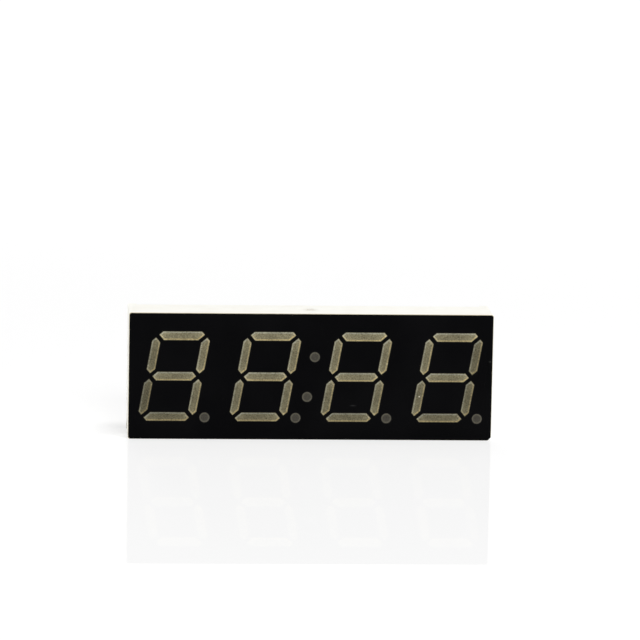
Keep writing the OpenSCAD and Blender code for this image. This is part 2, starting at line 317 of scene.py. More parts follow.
def housing_finish(colours):
    """Off-white moulded plastic, with flow marks, a fine mould texture and a greyed gate."""
    material, tree, shader, where = start_finish("housing_cream", colours.cream, 0.4)
    flow = cloud(tree, where, 4, 3, (1, 1, 2.5))
    fleck = cloud(tree, where, 0.25)
    body = tint(tree, spread(tree, flow, 0.35, 0.75, 0, 0.7), colours.cream, colours.cream_shade)
    body = tint(tree, spread(tree, fleck, 0.62, 0.8, 0, 0.3), body, colours.cream_shade)
    gate = (0, FACE_Y / MM + GATE_DEPTH, HOUSING_HIGH.z / MM)
    patchy = spread(tree, cloud(tree, where, 0.6), 0.3, 0.6, 0.35, 0.8)
    tinted = calculate(tree, "MULTIPLY", spot(tree, where, gate, GATE_WIDTH / 2, 1), patchy)
    body = tint(tree, tinted, body, colours.gate_stain)
    # Dark brownish marks low on the left side, by the rear foot
    body = tint(tree, rear_marks_mask(tree, where), body, colours.rear_marks)
    depth = join(tree, "SeparateXYZ", {0: where}, output=1)
    # A tan band on the housing just behind the ink
    margin = spread(tree, depth, INK_HIGH.y, INK_HIGH.y + INK_MARGIN, 0.7, 0)
    body = tint(tree, margin, body, colours.tinted)
    set_colour(tree, shader, body)
    set_roughness(tree, shader, fleck, 0.42, 0.56)
    relief(tree, shader, cloud(tree, where, 0.09, 3), 0.006, 0.5)
    return material


def rear_marks_mask(tree, where):
    """Two dark brownish marks on the left side, low by the rear foot."""
    left, rear = HOUSING_LOW.x / MM, SEAL_HIGH.y / MM
    where = wander(tree, wander(tree, where, 1.0, 0.45), 0.25, 0.12)
    blots = []
    for ahead, height, radius, strength in REAR_MARK_BLOTS:
        blot = spot(tree, where, (left, rear - ahead, height), radius, 0.5, (0.4, 0.26, 1))
        blots.append(calculate(tree, "MULTIPLY", blot, strength))
    return calculate(tree, "MAXIMUM", *blots)


def wander(tree, where, size_mm, reach_mm):
    """Shifts places by soft noise, so that a mark read there gets a ragged outline."""
    settings = {"Vector": where, "Scale": 1 / (size_mm * MM), "Detail": 1.0}
    noise = join(tree, "TexNoise", settings, output=1)
    noise = combine(tree, "SUBTRACT", noise, (0.5, 0.5, 0.5))
    noise = combine(tree, "MULTIPLY", noise, [2 * reach_mm * MM] * 3)
    return combine(tree, "ADD", where, noise)


def ink_finish(colours):
    """Matte black printing ink, with a fine grain, a faint rubbed patch and a nick."""
    material, tree, shader, where = start_finish("face_ink", colours.ink, 0.012)
    grain = cloud(tree, where, 0.12)
    haze = cloud(tree, where, 9, 2)
    hazy, grainy = srgb(12, 12, 13), srgb(13, 13, 15)
    body = tint(tree, spread(tree, haze, 0.35, 0.7), colours.ink, hazy)
    body = tint(tree, spread(tree, grain, 0.3, 0.75, 0, 0.5), body, grainy)
    # A rubbed patch under the third digit, and a nick at the right edge
    rubbed, nick = (44, 44, 45), (62, 61, 58)
    body = mark_face(tree, where, body, (5.95, 4.88), 0.6, rubbed, 1, squash=(1, 1, 4))
    body = mark_face(tree, where, body, (25.05, 11.2), 0.3, nick, 0.8, squash=(1, 1, 3))
    complete(tree, shader, body, grain, (0.6, 0.75), 0.004, 0.35)
    return material


# Widths over which the pale rim comes up from the lip and dies away, in millimetres
LIP_FADE, RIM_FADE = 0.07, 0.06
# How strongly the filler shows in bars and dots, and how much the tips' glow adds
BAR_GRAIN, DOT_GRAIN, TIP_GAIN = 0.42, 0.2, 0.62


def grain_level(tree, where, contrast):
    """Brightness of the fine filler in the resin, around 1."""
    grain = cloud(tree, where, 0.16, 3)
    return grain, spread(tree, grain, 0.3, 0.7, 1 - contrast, 1 + contrast, False)


def rim_level(tree, inset, sizes):
    """1 on the pale rim just inside the dark lip, and 0 on the lip and the middle."""
    lip, rim = sizes.window_lip / MM, sizes.window_rim / MM
    rise = spread(tree, inset, lip, lip + LIP_FADE)
    fall = spread(tree, inset, 0.5 * (lip + rim), rim + RIM_FADE, 1, 0)
    return calculate(tree, "MULTIPLY", rise, fall)


def finish_resin(tree, shader, body, inset, grain, colours, sizes):
    """Inks the lip over a window's colour, as ink over the resin's edge and painted shade from the
    ink's edge, and gives the resin its gloss and grain.
    """
    lip_width = sizes.window_lip / MM
    lip = spread(tree, inset, 0.4 * lip_width, lip_width, 1, 0)
    # The dark lip: ink over the resin's edge, with painted shade from the ink's edge
    body = tint(tree, lip, body, colours.ink)
    complete(tree, shader, body, grain, (0.4, 0.5), 0.005, 0.5)


def window_finish(colours, sizes):
    """Tinted resin with fine filler over a tapering white well, pale along its rim and tips, with
    painted light and shade in the rim's warm and cool sides and in each well's tone.
    """
    material, tree, shader, where = start_finish("window_resin", colours.resin, 0.1)
    inset, warm = attribute(tree, "inset_mm"), attribute(tree, "warm_side")
    # The wells' tone is painted light and shade
    glow, tone = attribute(tree, "tip_glow"), attribute(tree, "well_tone")
    grain, level = grain_level(tree, where, BAR_GRAIN)
    rim = rim_level(tree, inset, sizes)
    # Painted light and shade: the rim is warm on its lit lower side, cool and dimmer on its upper
    # side
    body = tint(tree, rim, colours.resin, tint(tree, warm, colours.rim_cool, colours.rim_warm))
    drift = spread(tree, cloud(tree, where, 1.4, 2), 0.3, 0.7, 0.94, 1.06, False)
    glow = join(tree, "Math", {0: glow, 1: TIP_GAIN, 2: 1.0}, operation="MULTIPLY_ADD")
    for part in (drift, tone, glow):
        level = calculate(tree, "MULTIPLY", level, part)
    body = dim(tree, body, level)
    # A pale speck in the fourth digit, a dark spot in the second and a glint in the third
    speck, dark_spot, glint = (214, 208, 186), (38, 34, 24), (206, 198, 160)
    body = mark_face(tree, where, body, (15.2, 6.2), 0.12, speck, 0.4)
    body = mark_face(tree, where, body, (-6.15, 3.0), 0.1, dark_spot, 0.4)
    body = mark_face(tree, where, body, (10.6, 10.8), 0.18, glint, 0.8, 0.7)
    finish_resin(tree, shader, body, inset, grain, colours, sizes)
    return material


def dot_finish(colours, sizes):
    """The same resin over a narrow round well, which lets less light back."""
    material, tree, shader, where = start_finish("dot_resin", colours.dot, 0.1)
    inset = attribute(tree, "inset_mm")
    grain, level = grain_level(tree, where, DOT_GRAIN)
    body = tint(tree, rim_level(tree, inset, sizes), colours.dot, colours.dot_rim)
    finish_resin(tree, shader, dim(tree, body, level), inset, grain, colours, sizes)
    return material


def board_finish(colours):
    """White solder resist over a woven laminate."""
    yarn, between = colours.laminate, darker(colours.laminate, 0.86)
    material, tree, shader, where = start_finish("board_laminate", yarn, 0.4)
    weave = calculate(tree, "MULTIPLY", *(weave_bands(tree, where, way) for way in ("X", "Z")))
    set_colour(tree, shader, tint(tree, spread(tree, weave, 0.1, 0.8, 0, 0.6), yarn, between))
    set_roughness(tree, shader, cloud(tree, where, 0.5), 0.35, 0.5)
    relief(tree, shader, weave, 0.01, 0.4)
    return material


def weave_bands(tree, where, way):
    """Bands of the laminate's yarns that run one way."""
    settings = {"Vector": where, "Scale": 1 / (2.2 * MM), "Distortion": 0.4, "Detail": 1.0}
    return join(tree, "TexWave", settings, output=1, bands_direction=way)


def track_finish(colours):
    """Copper tracks that show darker through the white solder resist."""
    material, tree, shader, where = start_finish("track_resist", colours.track, 0.45)
    fleck = cloud(tree, where, 0.4)
    dull = darker(colours.track, 0.8)
    body = tint(tree, spread(tree, fleck, 0.3, 0.7), colours.track, dull)
    complete(tree, shader, body, fleck, (0.3, 0.45), 0.004, 0.4)
    return material


def seal_finish(colours):
    """Cloudy cast resin, glossy, with small bubbles, that shows the board beneath."""
    material, tree, shader, where = start_finish("seal_resin", colours.seal, Alpha=0.55)
    haze = cloud(tree, where, 7, 2)
    body = tint(tree, spread(tree, haze, 0.3, 0.7), colours.seal, darker(colours.seal, 0.9))
    settings = {"Vector": where, "Scale": 1 / (1.9 * MM), "Randomness": 1.0}
    bubbles = join(tree, "TexVoronoi", settings)
    disc, hollow = spread(tree, bubbles, 0.05, 0.075, 1, 0), spread(tree, bubbles, 0.03, 0.05, 1, 0)
    ring = calculate(tree, "SUBTRACT", disc, hollow)
    body = tint(tree, calculate(tree, "MULTIPLY", ring, 0.5), body, srgb(158, 150, 118))
    set_colour(tree, shader, body)
    set_roughness(tree, shader, haze, 0.1, 0.2)
    relief(tree, shader, cloud(tree, where, 2.5, 2), 0.02, 0.5)
    return material


def tin_finish(colours, name, brightness=1.0):
    """Dull tin, drawn along the pin, with greyer patches of this brightness."""
    material, tree, shader, where = start_finish(name, colours.tin, Metallic=1.0)
    drawn = cloud(tree, where, 0.1, 2, (1, 0.06, 1))
    patch = cloud(tree, where, 1.2, 2)
    dull = darker(colours.tin, 0.8 * brightness)
    body = tint(tree, spread(tree, patch, 0.35, 0.7), colours.tin, dull)
    complete(tree, shader, body, drawn, (0.24, 0.34), 0.002, 0.3)
    return material


def die_finish():
    """Lamp chip: a dark, partly metallic crystal with fine facets."""
    material, tree, shader, where = start_finish("die_crystal", srgb(120, 84, 60), Metallic=0.3)
    facet = cloud(tree, where, 0.05, 2)
    body = tint(tree, facet, srgb(96, 60, 44), srgb(164, 128, 92))
    complete(tree, shader, body, facet, (0.2, 0.4), 0.003, 0.4)
    return material


def gold_finish(colours):
    """Fine drawn gold wire."""
    material, tree, shader, where = start_finish("wire_gold", colours.gold, Metallic=1.0)
    drawn = cloud(tree, where, 0.03, 2)
    body = tint(tree, drawn, colours.gold, darker(colours.gold, 0.8))
    complete(tree, shader, body, drawn, (0.18, 0.3), 0.001, 0.4)
    return material


# Modelling helpers


def deselect():
    """Leaves no piece selected."""
    bpy.ops.object.select_all(action="DESELECT")


def activate(piece):
    """Makes a piece the only one selected, and the active one."""
    deselect()
    piece.select_set(True)
    bpy.context.view_layer.objects.active = piece


def edit(piece, mode="VERT", chosen="DESELECT"):
    """Opens a piece's mesh, with nothing or everything selected."""
    activate(piece)
    bpy.ops.object.mode_set(mode="EDIT")
    bpy.ops.mesh.select_mode(type=mode)
    bpy.ops.mesh.select_all(action=chosen)


def finish_edit():
    """Closes the open mesh."""
    bpy.ops.object.mode_set(mode="OBJECT")


def pick(kind, test):
    """Selects the open mesh's vertices, edges or faces that pass a test, and counts them."""
    mesh = bmesh.from_edit_mesh(bpy.context.edit_object.data)
    items = {"VERT": mesh.verts, "EDGE": mesh.edges, "FACE": mesh.faces}[kind]
    count = 0
    for item in items:
        chosen = bool(test(item))
        item.select_set(chosen)
        count += chosen
    if kind == "VERT":
        mesh.select_flush(False)
    bmesh.update_edit_mesh(bpy.context.edit_object.data)
    return count


def new_piece(name, data):
    """A new piece in the scene."""
    piece = bpy.data.objects.new(name, data)
    bpy.context.scene.collection.objects.link(piece)
    return piece


def copy_solid(node, name):
    """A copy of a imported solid's mesh as a new piece, with its triangles joined up."""
    piece = new_piece(name, CAD[node].data.copy())
    edit(piece, chosen="SELECT")
    bpy.ops.mesh.customdata_custom_splitnormals_clear()
    bpy.ops.mesh.remove_doubles(threshold=WELD)
    bpy.ops.mesh.mark_sharp(clear=True)
    bpy.ops.mesh.dissolve_limited(angle_limit=math.radians(0.6))
    finish_edit()
    return piece


def dress(piece, material, nodes, smooth_angle=30):
    """Gives a finished piece its material and its place on the body, and hides the solids it stands
    for.
    """
    activate(piece)
    piece.data.materials.clear()
    piece.data.materials.append(material)
    bpy.ops.object.shade_smooth_by_angle(angle=math.radians(smooth_angle))
    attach(piece, "root")
    if nodes:
        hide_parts(*nodes)
    deselect()


def paint(nodes, material):
    """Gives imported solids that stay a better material."""
    for node in nodes:
        mesh = CAD[node].data
        mesh.materials.clear()
        mesh.materials.append(material)


def soften(piece, width, test):
    """Bevels the edges that pass a test."""
    edit(piece, "EDGE")
    if not pick("EDGE", test):
        raise RuntimeError(f"{piece.name} has no edge to round")
    bpy.ops.mesh.bevel(offset=width, segments=2, affect="EDGES", clamp_overlap=True)
    finish_edit()


def is_sharp(edge, degrees=40):
    """Whether an edge's two faces meet at more than this angle."""
    return len(edge.link_faces) == 2 and edge.calc_face_angle(0) > math.radians(degrees)


def way_in(point, low, high):
    """How far a point lies in from the nearest of a box's left, right, lower and upper sides."""
    return min(point.x - low.x, high.x - point.x, point.z - low.z, high.z - point.z)


def hull(points):
    """The corners of a convex outline around points on the face, anticlockwise as seen."""
    ordered = sorted(set((round(p[0], 8), round(p[1], 8)) for p in points))

    def half(sequence):
        chain = []
        for p in sequence:
            while len(chain) > 1:
                (ax, az), (bx, bz) = chain[-2], chain[-1]
                if (bx - ax) * (p[1] - az) - (bz - az) * (p[0] - ax) > 1e-12:
                    break
                chain.pop()
            chain.append(p)
        return chain[:-1]

    return half(ordered) + half(reversed(ordered))


def solid_outline(node, y):
    """Outline of a solid's corners at one depth."""
    points = [(v.co.x, v.co.z) for v in CAD[node].data.vertices if abs(v.co.y - y) < HAIR]
    return hull(points)


def sides(outline):
    """The sides of an outline, each as its two corners."""
    return zip(outline, outline[1:] + outline[:1])


def inside_side(side, x, z):
    """How far a point lies inside one side of an outline."""
    (ax, az), (bx, bz) = side
    return ((bx - ax) * (z - az) - (bz - az) * (x - ax)) / math.hypot(bx - ax, bz - az)


def take_added(name):
    """Names the piece just added, and settles its place and turn into its mesh."""
    piece = bpy.context.object
    piece.name = piece.data.name = name
    bpy.ops.object.transform_apply(location=True, rotation=True, scale=True)
    return piece


def close_solid():
    """Closes the selected border of the open mesh, and turns its faces outwards."""
    bpy.ops.mesh.edge_face_add()
    bpy.ops.mesh.select_all(action="SELECT")
    bpy.ops.mesh.normals_make_consistent(inside=False)
    finish_edit()


# Pieces


def options(context):
    """The sizes and colours that a step works with."""
    return context.scene.display_sizes, context.scene.display_colours


class DISPLAY_OT_housing(bpy.types.Operator):
    """Copies the moulded housing and rounds the edges that show"""

    bl_idname = "display_module.housing"
    bl_label = "Reflector Housing"

    def execute(self, context):
        sizes, colours = options(context)
        piece = copy_solid("reflector_housing", "reflector_shell")
        # Depths of the front and rear edges, and how near the sides the front ones lie
        front, back, band = FACE_Y + 0.15 * MM, SEAL_HIGH.y + 0.05 * MM, 0.35 * MM

        def shows(edge):
            ends = [v.co for v in edge.verts]
            outer = all(way_in(p, HOUSING_LOW, HOUSING_HIGH) < band for p in ends)
            at_front, at_back = all(p.y < front for p in ends), all(p.y > back for p in ends)
            return is_sharp(edge) and (at_back or at_front and outer)

        soften(piece, sizes.edge_round, shows)
        dress(piece, housing_finish(colours), ["reflector_housing"])
        return {"FINISHED"}


class DISPLAY_OT_printed_face(bpy.types.Operator):
    """Copies the printed black layer and rounds its outer edge"""

    bl_idname = "display_module.printed_face"
    bl_label = "Printed Face"

    def execute(self, context):
        sizes, colours = options(context)
        piece = copy_solid("front_mask", "printed_face")
        band = 0.5 * MM

        def rim(edge):
            ends = [v.co for v in edge.verts]
            at_front = all(p.y < FACE_Y + HAIR for p in ends)
            outer = all(way_in(p, INK_LOW, INK_HIGH) < band for p in ends)
            return is_sharp(edge) and at_front and outer

        soften(piece, sizes.ink_round, rim)
        dress(piece, ink_finish(colours), ["front_mask"])
        return {"FINISHED"}


# Painted light and shade in the wells' tone: lighter at the top and middle bars, darker at the
# lower ones, as the light falls from above
WELL_TONE = {"a": 1.3, "b": 1.07, "c": 0.95, "d": 0.92, "e": 0.92, "f": 1.07, "g": 1.2}
# Direction across the face in which a bar's rim is warmest: painted light on the side of the rim
# that faces it, painted shade on the other
WARM_SIDE = Vector((0.5, -0.87))
# How far in from a side its own warmth still counts
SIDE_BLEND = 0.1 * MM


def store(mesh, name, values):
    """Stores one number at each of a mesh's points."""
    layer = mesh.attributes.new(name, "FLOAT", "POINT")
    layer.data.foreach_set("value", values)


def well_tone(node, letter, sizes):
    """Painted light and shade of a bar's well: its tone by its bar, which is dimmer close to either
    end of the module.
    """
    low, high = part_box(node)
    from_end = HOUSING_HIGH.x - abs((low.x + high.x) / 2)
    return WELL_TONE[letter] * (1 - math.exp(-from_end / sizes.end_shade))


def mark_window(mesh, outline, tip_glow):
    """Stores at each point its way in from the edge, its side's warmth, which carries painted light
    and shade, and the tips' glow.
    """
    ends = max(((p, q) for p in outline for q in outline), key=lambda pair: math.dist(*pair))
    inset, warm, glow = [], [], []
    for vertex in mesh.vertices:
        x, z = vertex.co.x, vertex.co.z
        reach, weight, facing = [], 0.0, 0.0
        for side in sides(outline):
            (ax, az), (bx, bz) = side
            gap = max(0.0, inside_side(side, x, z))
            span = math.hypot(bx - ax, bz - az)
            outward = Vector(((bz - az) / span, (ax - bx) / span))
            nearness = math.exp(-gap / SIDE_BLEND)
            reach.append(gap)
            weight += nearness
            facing += nearness * (0.5 + 0.5 * outward.dot(WARM_SIDE))
        inset.append(min(reach) / MM)
        warm.append(facing / weight if weight > 1e-9 else 0.5)
        glow.append(max(math.exp(-math.dist((x, z), end) / tip_glow) for end in ends))
    store(mesh, "inset_mm", inset)
    store(mesh, "warm_side", warm)
    store(mesh, "tip_glow", glow)


def cut_outside(outline, shrink=0.0, keep=False):
    """Bisects the open mesh along an outline's sides, and drops what lies outside."""
    for (x, z), (next_x, next_z) in sides(outline):
        outward = Vector((next_z - z, 0, x - next_x)).normalized()
        bpy.ops.mesh.select_all(action="SELECT")
        bpy.ops.mesh.bisect(
            plane_co=Vector((x, 0, z)) - shrink * outward,
            plane_no=outward,
            clear_outer=not keep,
            threshold=WELD,
        )


def rim_depth(node):
    """Depth at which a window's straight edge through the ink ends."""
    return min(v.co.y for v in CAD[node].data.vertices if v.co.y > FACE_Y + HAIR)


def draw_back(rim_y, back_y):
    """Draws a window's border back: straight through the ink, then on to the board."""
    bpy.ops.mesh.select_mode(type="EDGE")
    pick("EDGE", lambda e: e.is_boundary)
    for reach in (rim_y - FACE_Y, back_y - rim_y):
        bpy.ops.mesh.extrude_edges_move(TRANSFORM_OT_translate={"value": (0, reach, 0)})


def bar_window(node, name, sizes):
    """A bar's resin: a finely divided front with a dished lip, and the tapering plug behind."""
    low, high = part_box(node)
    front, back = solid_outline(node, FACE_Y), solid_outline(node, high.y)
    if len(front) != len(back):
        raise RuntimeError(f"{node} has {len(front)} corners in front and {len(back)} behind")
    wide, tall = high.x - low.x + 2 * HAIR, high.z - low.z + 2 * HAIR
    bpy.ops.mesh.primitive_grid_add(
        x_subdivisions=math.ceil(wide / sizes.grid_step),
        y_subdivisions=math.ceil(tall / sizes.grid_step),
        size=1,
        rotation=UPRIGHT,
    )
    piece = take_added(name)
    edit(piece, chosen="SELECT")
    bpy.ops.transform.resize(value=(wide, 1, tall))
    bpy.ops.transform.translate(value=((low.x + high.x) / 2, FACE_Y, (low.z + high.z) / 2))
    cut_outside(front)
    for inset in (sizes.window_lip, sizes.window_lip + LIP_FADE * MM, sizes.window_rim):
        cut_outside(front, inset, keep=True)
    dished = sizes.window_lip - HAIR
    pick("VERT", lambda v: min(inside_side(s, v.co.x, v.co.z) for s in sides(front)) > dished)
    bpy.ops.transform.translate(value=(0, sizes.window_dish, 0))
    draw_back(rim_depth(node), high.y)
    mesh = bmesh.from_edit_mesh(piece.data)
    for vertex in mesh.verts:
        if vertex.co.y > high.y - HAIR:
            vertex.co.x, vertex.co.z = carry(front, back, vertex.co.x, vertex.co.z)
    bmesh.update_edit_mesh(piece.data)
    close_solid()
    mark_window(piece.data, front, sizes.tip_glow)
    return piece


def carry(front, back, x, z):
    """Carries a point on one outline's side to the same share of the other's side."""
    best = None
    for ((ax, az), (bx, bz)), ((cx, cz), (dx, dz)) in zip(sides(front), sides(back)):
        span = (bx - ax) ** 2 + (bz - az) ** 2
        t = min(1.0, max(0.0, ((x - ax) * (bx - ax) + (z - az) * (bz - az)) / span))
        gap = math.hypot(ax + t * (bx - ax) - x, az + t * (bz - az) - z)
        if best is None or gap < best[0]:
            best = gap, cx + t * (dx - cx), cz + t * (dz - cz)
    return best[1], best[2]


def copy_window(model, name, first, node):
    """A copy of a window, moved from its own solid's place to another's."""
    twin = new_piece(name, model.data.copy())
    twin.data.transform(Matrix.Translation(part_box(node)[0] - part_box(first)[0]))
    return twin


class DISPLAY_OT_bar_windows(bpy.types.Operator):
    """Models the seven bar windows of the first digit and copies them to the others"""

    bl_idname = "display_module.bar_windows"
    bl_label = "Bar Windows"

    def execute(self, context):
        sizes, colours = options(context)
        resin = window_finish(colours, sizes)
        for letter in LETTERS:
            first = f"digit_1_segment_{letter}"
            model = bar_window(first, f"digit_1_window_{letter}", sizes)
            pieces = {first: model}
            for digit in DIGITS[1:]:
                node, name = f"digit_{digit}_segment_{letter}", f"digit_{digit}_window_{letter}"
                pieces[node] = copy_window(model, name, first, node)
            for node, piece in pieces.items():
                # Each well's tone: painted light and shade by its bar and its nearness to the
                # module's ends
                tone = well_tone(node, letter, sizes)
                store(piece.data, "well_tone", [tone] * len(piece.data.vertices))
                dress(piece, resin, [node])
        return {"FINISHED"}


# Corners of a round window, its rings of faces inside the lip, and a ring's width in lips
DOT_CORNERS, DOT_RINGS, RING_WIDTH = 64, 9, 1.2


def dot_window(node, name, sizes):
    """A dot's resin: rings with a dished lip, and the tapering plug behind."""
    low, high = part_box(node)
    centre = Vector(((low.x + high.x) / 2, FACE_Y, (low.z + high.z) / 2))
    radius = (high.x - low.x) / 2

    def off_centre(point):
        return math.hypot(point.x - centre.x, point.z - centre.z)

    back = [v.co for v in CAD[node].data.vertices if abs(v.co.y - high.y) < HAIR]
    narrow = max(off_centre(p) for p in back) / radius
    bpy.ops.mesh.primitive_circle_add(
        vertices=DOT_CORNERS, radius=radius, fill_type="NGON", location=centre, rotation=UPRIGHT
    )
    piece = take_added(name)
    edit(piece, "FACE", "SELECT")
    bpy.ops.mesh.inset(thickness=sizes.window_lip, depth=-sizes.window_dish)
    for _ in range(DOT_RINGS):
        bpy.ops.mesh.inset(thickness=sizes.window_lip * RING_WIDTH, depth=0)
    bpy.ops.mesh.poke()
    draw_back(rim_depth(node), high.y)
    bpy.ops.transform.resize(
        value=(narrow, 1, narrow), center_override=(centre.x, high.y, centre.z)
    )
    close_solid()
    inset = [(radius - off_centre(v.co)) / MM for v in piece.data.vertices]
    store(piece.data, "inset_mm", inset)
    return piece


class DISPLAY_OT_dot_windows(bpy.types.Operator):
    """Models one dot window and copies it to the decimal points and the colon"""

    bl_idname = "display_module.dot_windows"
    bl_label = "Dot Windows"

    def execute(self, context):
        sizes, colours = options(context)
        resin = dot_finish(colours, sizes)
        nodes = [f"digit_{digit}_decimal_point" for digit in DIGITS]
        nodes += ["colon_dot_upper", "colon_dot_lower"]
        model = dot_window(nodes[0], nodes[0] + "_window", sizes)
        for node in nodes[1:]:
            twin = copy_window(model, node + "_window", nodes[0], node)
            dress(twin, resin, [node])
        dress(model, resin, [nodes[0]])
        return {"FINISHED"}


# The tracks' layout in millimetres, by the pins' spacing: each track's level from its pin, its
# reach along the board and its end from the middle line, with their steps from pin to pin
PITCH = 2.54
LEVEL, LEVEL_STEP = 3.9, 0.8
REACH, REACH_STEP, UPPER_REACH = 10.6, 4.6, 1.5
END, END_STEP = 2.0, 0.5
# The long tracks along the middle of the board: height over the middle, and half their length
LONG_TRACKS = ((-0.9, 22.8), (0, 20.4), (0.9, 22.8))
# Corners of a round pad, and how much higher than the tracks it stands
PAD_CORNERS, PAD_STAND = 40, 1.3


def pin_places():
    """The pins' middles on the board, in the pins' order."""
    boxes = [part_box(f"pin_{number:02d}") for number in PINS]
    return [((low.x + high.x) / 2, (low.z + high.z) / 2) for low, high in boxes]


def track_routes():
    """Each pin's track as corner points: in from its pad, along the board, and in to a spot."""
    routes = []
    for x, z in pin_places():
        inward = 1 if z < MIDDLE.z else -1
        rank = round(abs(x) / (PITCH * MM) - 0.5)
        level = z + inward * (LEVEL - LEVEL_STEP * rank) * MM
        reach = REACH + REACH_STEP * rank + (UPPER_REACH if inward < 0 else 0)
        far = math.copysign(reach * MM, x)
        end = MIDDLE.z - inward * (END + END_STEP * rank) * MM
        routes.append([(x, z), (x, level), (far, level), (far, end)])
    for height, reach in LONG_TRACKS:
        z = MIDDLE.z + height * MM
        routes.append([(-reach * MM, z), (reach * MM, z)])
    return routes


class DISPLAY_OT_board_tracks(bpy.types.Operator):
    """Runs flat tracks over the back of the board, with pads at the pins and spots at the ends"""

    bl_idname = "display_module.board_tracks"
    bl_label = "Board Tracks"

    def execute(self, context):
        sizes, colours = options(context)
        curve = bpy.data.curves.new("board_tracks", "CURVE")
        curve.dimensions, curve.use_fill_caps = "3D", True
        curve.bevel_depth, curve.bevel_resolution = sizes.track_width / 2, 2
        for route in track_routes():
            spline = curve.splines.new("POLY")
            spline.points.add(len(route) - 1)
            for point, (x, z) in zip(spline.points, route):
                point.co = (x, 0, z, 1)
        activate(new_piece("board_tracks", curve))
        bpy.ops.object.convert(target="MESH")
        tracks = context.object
        edit(tracks, chosen="SELECT")
        bpy.ops.mesh.remove_doubles(threshold=WELD)
        bpy.ops.transform.resize(
            value=(1, 2 * sizes.track_rise / sizes.track_width, 1), center_override=(0, 0, 0)
        )
        bpy.ops.transform.translate(value=(0, BOARD_HIGH.y, 0))
        bpy.ops.mesh.normals_make_consistent(inside=False)
        finish_edit()
        dress(tracks, track_finish(colours), [])

        places, routes = pin_places(), track_routes()
        pads = round_pads("board_pads", sizes.pad_width, sizes.track_rise, places)
        ends = [route[-1] for route in routes] + [route[0] for route in routes[len(PINS) :]]
        spots = round_pads("track_spots", sizes.via_width, sizes.track_rise, ends)
        activate(pads)
        spots.select_set(True)
        bpy.ops.object.join()
        dress(pads, tin_finish(colours, "pad_tin", 0.95), [])
        return {"FINISHED"}


def round_pads(name, width, rise, places):
    """One flat round pad, repeated at each place on the back of the board."""
    (x, z), *others = places
    deselect()
    bpy.ops.mesh.primitive_cylinder_add(
        vertices=PAD_CORNERS,
        radius=width / 2,
        depth=2 * PAD_STAND * rise,
        location=(x, BOARD_HIGH.y, z),
        rotation=UPRIGHT,
    )
    pads = take_added(name)
    soften(pads, rise / 2, lambda e: is_sharp(e, 60))
    edit(pads, chosen="SELECT")
    for next_x, next_z in others:
        bpy.ops.mesh.duplicate_move(TRANSFORM_OT_translate={"value": (next_x - x, 0, next_z - z)})
        x, z = next_x, next_z
    finish_edit()
    return pads


# Radius of a pin's head, the width of the seal's climb at the pins as a share of that at the
# walls, and how far its front reaches into the board
PIN_RADIUS, PIN_CLIMB, SEAL_BITE = 0.28 * MM, 0.6, 0.02 * MM
# The seal's cuts: ways from the walls and from the pins' middles, in widths of the climb
WALL_CUTS = (0.3, 0.7, 1.3, 2.2)
PIN_CUTS = (0.6, 0.8, 1.1, 1.6, 2.4)
# Least and most room between two cuts
CLOSEST_CUTS, WIDEST_CUTS = 0.08 * MM, 1.2 * MM


class DISPLAY_OT_rear_seal(bpy.types.Operator):
    """Copies the rear seal and lets it climb up the walls and the pins, as poured resin does"""

    bl_idname = "display_module.rear_seal"
    bl_label = "Rear Seal"

    def execute(self, context):
        sizes, colours = options(context)
        piece = copy_solid("rear_seal", "poured_seal")
        pins = pin_places()
        edit(piece, "FACE")
        for axis, low, high in ((0, SEAL_LOW.x, SEAL_HIGH.x), (2, SEAL_LOW.z, SEAL_HIGH.z)):
            normal = Vector((axis == 0, 0, axis == 2))
            middles = sorted({round(place[axis // 2], 6) for place in pins})
            for at in seal_lines(low, high, middles, sizes.seal_climb):
                pick("FACE", lambda f: f.normal.y > 0.9)
                bpy.ops.mesh.bisect(plane_co=at * normal, plane_no=normal, threshold=1e-9)
        finish_edit()
        for vertex in piece.data.vertices:
            x, y, z = vertex.co
            if y > SEAL_HIGH.y - HAIR:
                wall = way_in(vertex.co, SEAL_LOW, SEAL_HIGH)
                pin = min(math.hypot(x - px, z - pz) for px, pz in pins) - PIN_RADIUS
                by_wall = math.exp(-max(0, wall) / sizes.seal_climb)
                by_pin = math.exp(-max(0, pin) / (PIN_CLIMB * sizes.seal_climb))
                vertex.co.y -= sizes.seal_sink * (1 - max(by_wall, by_pin))
            else:
                vertex.co.y -= SEAL_BITE
        dress(piece, seal_finish(colours), ["rear_seal"], 40)
        return {"FINISHED"}


def seal_lines(low, high, middles, climb):
    """Where to cut the seal's back: closely by the walls and the pins, and widely between."""
    steps = [n * climb for n in WALL_CUTS]
    lines = {low + s for s in steps} | {high - s for s in steps} | set(middles)
    for middle in middles:
        lines |= {middle + way * n * climb for n in PIN_CUTS for way in (-1, 1)}
    lines = sorted(at for at in lines if low + HAIR < at < high - HAIR)
    filled = [lines[0]]
    for at in lines[1:]:
        start = filled[-1]
        if at - start < CLOSEST_CUTS:
            continue
        gaps = math.ceil((at - start) / WIDEST_CUTS)
        filled += [start + (at - start) * k / gaps for k in range(1, gaps + 1)]
    return filled


class DISPLAY_OT_electronics(bpy.types.Operator):
    """Finishes the board, pins, solder, dies and bond wires"""

    bl_idname = "display_module.electronics"
    bl_label = "Electronics"

    def execute(self, context):
        colours = context.scene.display_colours
        paint(["circuit_board"], board_finish(colours))
        paint([f"pin_{number:02d}" for number in PINS], tin_finish(colours, "pin_tin"))
        paint(["solder_joints"], tin_finish(colours, "solder_tin", 0.9))
        paint([f"led_dies_digit_{digit}" for digit in DIGITS] + ["led_dies_colon"], die_finish())
        paint(["bond_wires"], gold_finish(colours))
        return {"FINISHED"}


# Side of the floor, and brightness with which it shows as white
FLOOR_SIDE, FLOOR_WHITE = 4, 1.08
